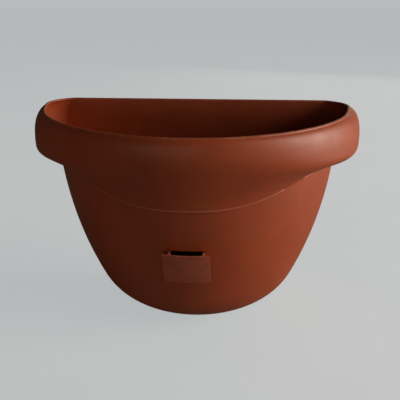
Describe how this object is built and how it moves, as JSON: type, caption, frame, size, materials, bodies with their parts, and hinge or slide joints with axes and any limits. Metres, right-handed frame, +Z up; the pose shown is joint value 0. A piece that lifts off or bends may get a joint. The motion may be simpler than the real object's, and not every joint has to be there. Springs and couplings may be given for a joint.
{
  "type": "wall planter",
  "caption": "Half-round self-watering wall planter: flat-backed plastic bowl with a swelling rim and apron, a clip-in water filler scoop, a lift-out soil grid and wicking cups.",
  "frame": {"origin": "middle of the line between the two wall screw holes, on the flat back face", "axes": "+Z up, +Y out of the back into the wall, -Y to the rounded front, +X to the right seen from the front"},
  "size_m": [0.346, 0.1702, 0.2285],
  "materials": {
    "pot_shell": "fine satin grain, terracotta colour",
    "filler_scoop": "matt, greyer terracotta",
    "soil_grid": "matt black-brown",
    "wick_cup_left": "matt black-brown",
    "wick_cup_right": "matt black-brown"
  },
  "bodies": {
    "pot": {"pot_shell": "pot_shell", "filler_scoop": "filler_scoop"},
    "grid": {"soil_grid": "soil_grid"},
    "left_cup": {"wick_cup_left": "wick_cup_left"},
    "right_cup": {"wick_cup_right": "wick_cup_right"}
  },
  "joints": [
    {"name": "grid_lift", "type": "slide", "parent": "pot", "child": "grid", "axis": [0, 0, 1], "range_m": [0, 0.22]},
    {"name": "left_cup_lift", "type": "slide", "parent": "grid", "child": "left_cup", "axis": [0, 0, 1], "range_m": [0, 0.22]},
    {"name": "right_cup_lift", "type": "slide", "parent": "grid", "child": "right_cup", "axis": [0, 0, 1], "range_m": [0, 0.22]}
  ]
}
